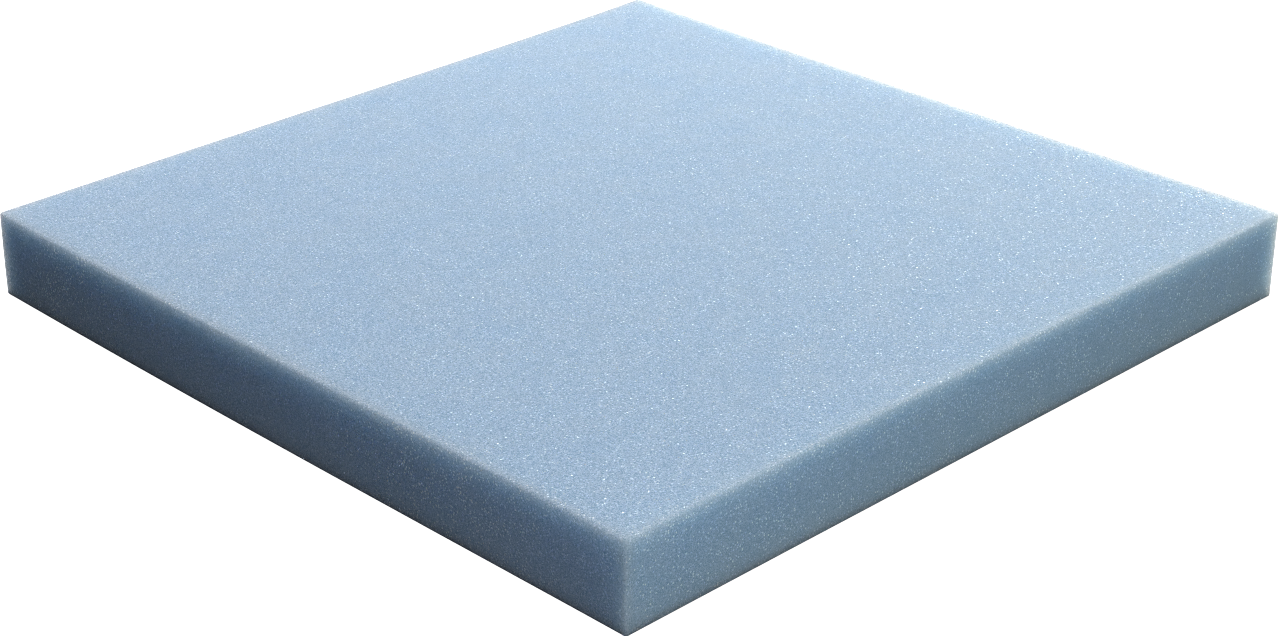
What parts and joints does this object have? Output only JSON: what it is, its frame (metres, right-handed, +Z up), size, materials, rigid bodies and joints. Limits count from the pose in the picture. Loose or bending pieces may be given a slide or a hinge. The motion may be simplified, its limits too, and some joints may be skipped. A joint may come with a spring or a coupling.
{
  "type": "filter foam slab",
  "caption": "Flat square slab of fine blue open-cell foam with straight-cut faces and softly rounded edges, used as sponge filter media for ponds and aquariums.",
  "frame": {"origin": "centre of the large face that the slab rests on", "axes": "+Z up through the thickness; X and Y along the two sides; the front face is at -Y"},
  "size_m": [0.5, 0.5, 0.05],
  "materials": {
    "open_cell_foam": null
  },
  "bodies": {
    "root": {"filter_foam_slab": "open_cell_foam"}
  },
  "joints": []
}
